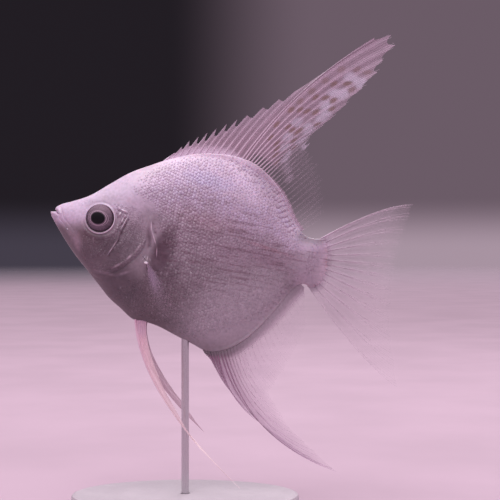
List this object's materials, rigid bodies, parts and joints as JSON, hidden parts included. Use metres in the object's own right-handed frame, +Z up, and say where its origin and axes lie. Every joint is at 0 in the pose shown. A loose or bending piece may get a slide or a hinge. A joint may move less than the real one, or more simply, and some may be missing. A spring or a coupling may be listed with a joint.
{
  "type": "freshwater angelfish",
  "caption": "Pale freshwater angelfish with a tall, flat, disc-shaped body and long trailing fins, held still by one thin rod over an oval base.",
  "frame": {"origin": "on the floor, under the middle of the box round the whole model", "axes": "+X from the snout towards the tail, +Y to the fish's right side, +Z up; the body axis is tipped 10.6 degrees head up"},
  "size_m": [0.1056, 0.042, 0.1393],
  "materials": {
    "skin": "moist scaly skin, pearly lilac grey, paler on the back",
    "eye": "wet and clear over a dark iris and a near-black pupil",
    "dorsal_fin": "thin translucent skin over ribbed rays, with rows of tan spots",
    "anal_fin": "thin translucent skin over ribbed rays, denser at the root",
    "tail_fin": "thin, nearly clear skin over fanned rays",
    "pelvic_fin": "soft pink ribbon along a smooth spine",
    "pectoral_fin": "nearly clear skin over fine rays",
    "stand_base": "honed, pale grey",
    "stand_rod": "satin"
  },
  "bodies": {
    "root": {"head": "skin", "lower_jaw": "skin", "gill_cover_left": "skin", "gill_cover_right": "skin", "trunk": "skin", "tail_stalk": "skin", "eye_left": "eye", "eye_right": "eye", "dorsal_fin": "dorsal_fin", "anal_fin": "anal_fin", "tail_fin": "tail_fin", "pelvic_fin_left": "pelvic_fin", "pelvic_fin_right": "pelvic_fin", "pectoral_fin_left": "pectoral_fin", "pectoral_fin_right": "pectoral_fin", "stand_base": "stand_base", "stand_rod": "stand_rod"}
  },
  "joints": []
}
